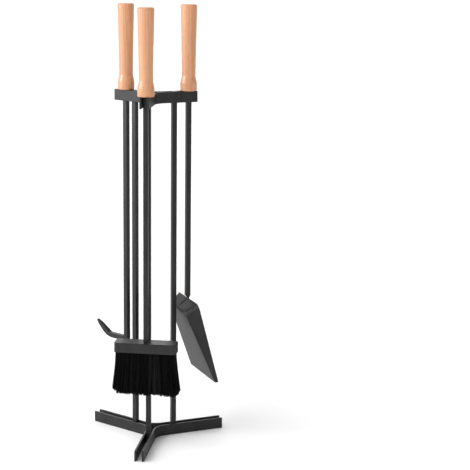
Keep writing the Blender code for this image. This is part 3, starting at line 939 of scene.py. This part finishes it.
# ------------------------------------------------------------------------------- shovel
@dataclass
class Shovel:
    """Square rod with a wedge end on a pan folded from one sheet."""

    body: str = "shovel"
    edge_rounding: float = 0.00017
    rim_rounding: float = 0.00035
    rim_segments: int = 2
    rim_bend: float = 50.0
    ridge_offset: float = 0.0009
    ridge_half: float = 0.0036
    weld_radius: float = 0.0013
    seed: int = 11

    def build(self, finishes: Finishes) -> None:
        """Build and dress the shovel."""
        add_piece("shovel_rod_coated", softened_copy("shovel_rod", self.edge_rounding),
                  finishes.steel, self.body, ["shovel_rod"])
        pan = softened_copy("shovel_pan", self.rim_rounding, self.rim_segments, self.rim_bend)
        add_piece("shovel_pan_folded", pan, finishes.sheet, self.body, ["shovel_pan"])
        self._weld(finishes)
        Handle(self.body).build(finishes)

    def _weld(self, finishes: Finishes) -> None:
        """Run a seam along the rod's wedge, where it stands on the pan's rim."""
        axis = middle("shovel_rod")
        low, _ = corners("shovel_rod")
        outward = Stand().outward(axis)
        across = UP.cross(outward) * self.ridge_half
        ridge = Vector((axis.x, axis.y, low.z)) + outward * self.ridge_offset
        shape = bmesh.new()
        seam = WeldSeam(ridge - across, ridge + across, self.weld_radius)
        seam.add_to(shape, random.Random(self.seed))
        mesh = mesh_of("pan_weld_seam", shape, WELD_SHARP_DEGREES)
        add_piece(mesh.name, mesh, finishes.steel, self.body)


# ------------------------------------------------------------------------------- studio
@dataclass(frozen=True)
class SoftBox:
    """A soft box that only shows as a gloss on the pieces."""

    name: str
    place: Triple
    size: tuple[float, float]
    power: float
    aim: Triple = (0.0, 0.0, 0.60)

    def add(self) -> None:
        """Hang the box, turned to the middle of the set."""
        light = bpy.data.lights.new(self.name, "AREA")
        light.shape = "RECTANGLE"
        light.size, light.size_y = self.size
        light.energy = self.power
        item = linked(self.name, light)
        place = Vector(self.place)
        turn = (place - Vector(self.aim)).to_track_quat("Z", "Y")
        item.matrix_world = Matrix.Translation(place) @ turn.to_matrix().to_4x4()
        item.visible_camera = False
        item.visible_diffuse = False


@dataclass
class Studio:
    """Pale floor, white surroundings, soft light from the upper left and the camera."""

    floor_radius: float = 40.0
    floor_sides: int = 96
    floor_gap: float = 0.0001
    sun_from: Triple = (-1.0, -0.72, 1.0)
    sun_strength: float = 2.25
    sun_angle: float = 58.0
    sky_left: float = 0.90
    sky_right: float = 0.10
    sky_back: float = 3.0
    dark_ceiling: float = 0.85
    left_span: tuple[float, float] = (-0.45, 1.0)
    back_span: tuple[float, float] = (0.60, 1.0)
    ceiling_span: tuple[float, float] = (0.25, 0.70)
    boxes: tuple[SoftBox, ...] = (
        SoftBox("side_box", (-1.75, -0.62, 0.92), (1.0, 0.50), 44.0),
        SoftBox("high_box", (-0.89, -1.06, 1.76), (0.30, 0.30), 5.0))
    camera_place: Triple = (0.418, -2.340, 0.878)
    camera_yaw: float = 6.844
    camera_pitch: float = 12.525
    camera_roll: float = 0.709
    sensor_mm: float = 36.0
    lens_mm: float = 114.33447
    clip_end: float = 200.0

    def build(self) -> None:
        """Set up the floor, the surroundings, the light and the camera."""
        self._floor()
        self._sky()
        self._sun()
        for box in self.boxes:
            box.add()
        self._camera()
        bpy.context.scene.view_settings.view_transform = "Standard"

    def _floor(self) -> None:
        """Lay the floor just under the object."""
        shape = bmesh.new()
        bmesh.ops.create_circle(shape, cap_ends=True, cap_tris=False,
                                segments=self.floor_sides, radius=self.floor_radius)
        level = CAD_BOUNDS[0][2] - self.floor_gap
        bmesh.ops.translate(shape, vec=(0.0, 0.0, level), verts=shape.verts)
        mesh = bpy.data.meshes.new("floor")
        shape.to_mesh(mesh)
        shape.free()
        mesh.materials.append(PaleFloor().make())
        linked("floor", mesh)

    def _sky(self) -> None:
        """Surround the set with white: brighter on the left and behind, dark above in reflections.

        The camera itself sees plain white.
        """
        world = bpy.data.worlds.new("studio")
        bpy.context.scene.world = world
        graph = Graph(world)
        way = graph.node("ShaderNodeTexCoord", output="Generated")
        toward = Vector(self.sun_from).normalized()
        facing = graph.node("ShaderNodeVectorMath", {"operation": "DOT_PRODUCT"},
                            {0: way, 1: tuple(toward)}, output="Value")
        behind = graph.node("ShaderNodeSeparateXYZ", None, {0: way}, output="Y")
        height = graph.node("ShaderNodeSeparateXYZ", None, {0: way}, output="Z")
        glow = facing.step(*self.left_span) * (self.sky_left - self.sky_right) + self.sky_right
        glow = glow + behind.step(*self.back_span) * self.sky_back
        mirrored = graph.node("ShaderNodeLightPath", output="Is Glossy Ray")
        glow = glow * (1 - height.step(*self.ceiling_span) * mirrored * self.dark_ceiling)
        seen = graph.node("ShaderNodeLightPath", output="Is Camera Ray")
        inputs = graph.tree.nodes["Background"].inputs
        graph.feed(inputs["Strength"], glow * (1 - seen) + seen)
        graph.feed(inputs["Color"], (1.0, 1.0, 1.0, 1.0))

    def _sun(self) -> None:
        """Hang the broad key light."""
        light = bpy.data.lights.new("key", "SUN")
        light.energy = self.sun_strength
        light.angle = math.radians(self.sun_angle)
        item = linked("key", light)
        item.rotation_euler = Vector(self.sun_from).to_track_quat("Z", "Y").to_euler()
        item.visible_glossy = False

    def _camera(self) -> None:
        """Aim the camera."""
        camera = bpy.data.cameras.new("camera")
        camera.sensor_width = self.sensor_mm
        camera.lens = self.lens_mm
        camera.clip_end = self.clip_end
        item = linked("camera", camera)
        turn = Matrix.Rotation(math.radians(self.camera_yaw), 4, "Z")
        turn @= Matrix.Rotation(math.radians(90.0 - self.camera_pitch), 4, "X")
        turn @= Matrix.Rotation(math.radians(self.camera_roll), 4, "Z")
        item.matrix_world = Matrix.Translation(self.camera_place) @ turn
        bpy.context.scene.camera = item


def main() -> None:
    """Build every sub-assembly in order."""
    logging.basicConfig(level=logging.INFO, format="%(name)s: %(message)s")
    Studio().build()
    finishes = Finishes()
    for assembly in (Stand(), Poker(), Brush(), Shovel()):
        assembly.build(finishes)
    bpy.context.view_layer.update()


if __name__ == "__main__":
    main()
